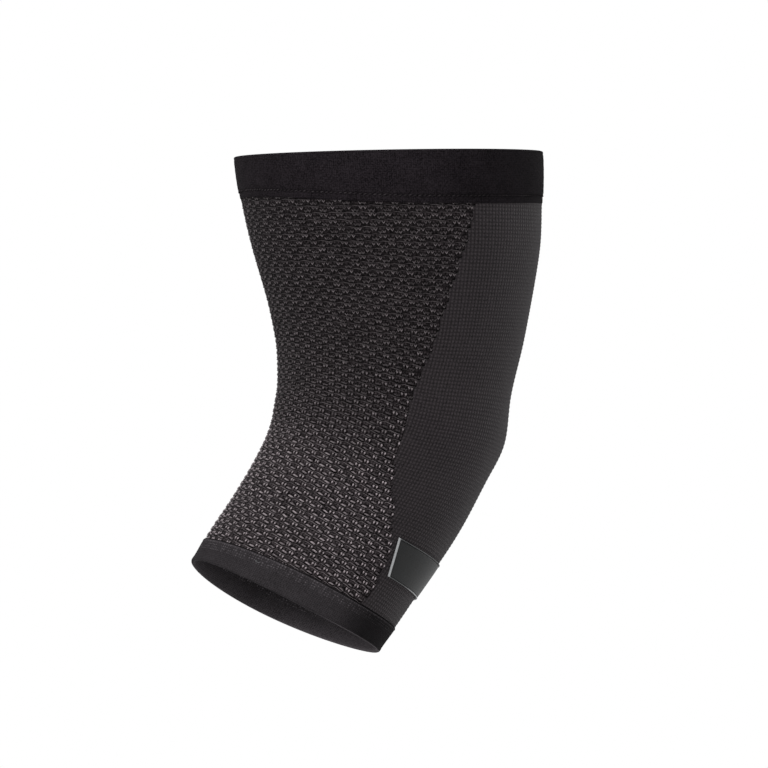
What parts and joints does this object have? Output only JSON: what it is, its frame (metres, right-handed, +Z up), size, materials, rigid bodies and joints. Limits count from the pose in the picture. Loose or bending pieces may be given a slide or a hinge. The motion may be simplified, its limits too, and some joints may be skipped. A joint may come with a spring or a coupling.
{
  "type": "knee sleeve",
  "caption": "Pull-on knit knee sleeve for a bent knee, with elastic bands at both ends, an open mesh knit round the back, a plain ribbed front panel and a satin label.",
  "frame": {"origin": "middle of the leg where the knee bends, halfway between the sleeve's two sides", "axes": "+X towards the front of the knee, +Z up the thigh, Y from side to side; the shin runs down and back"},
  "size_m": [0.1857, 0.1538, 0.2608],
  "materials": {
    "thigh_elastic": "dense matt black elastic knit",
    "mesh_knit": "open mesh knit, grey-brown yarn over dark holes",
    "rib_knit": "plain fine ribbed knit, matt charcoal",
    "shin_elastic": "dense matt charcoal elastic knit",
    "label_satin": "smooth dark grey satin",
    "label_edge": "pale grey reflective edging"
  },
  "bodies": {
    "root": {"top_band": "thigh_elastic", "mesh_panel": "mesh_knit", "front_panel": "rib_knit", "bottom_band": "shin_elastic", "label_patch": "label_satin", "label_trim": "label_edge"}
  },
  "joints": []
}
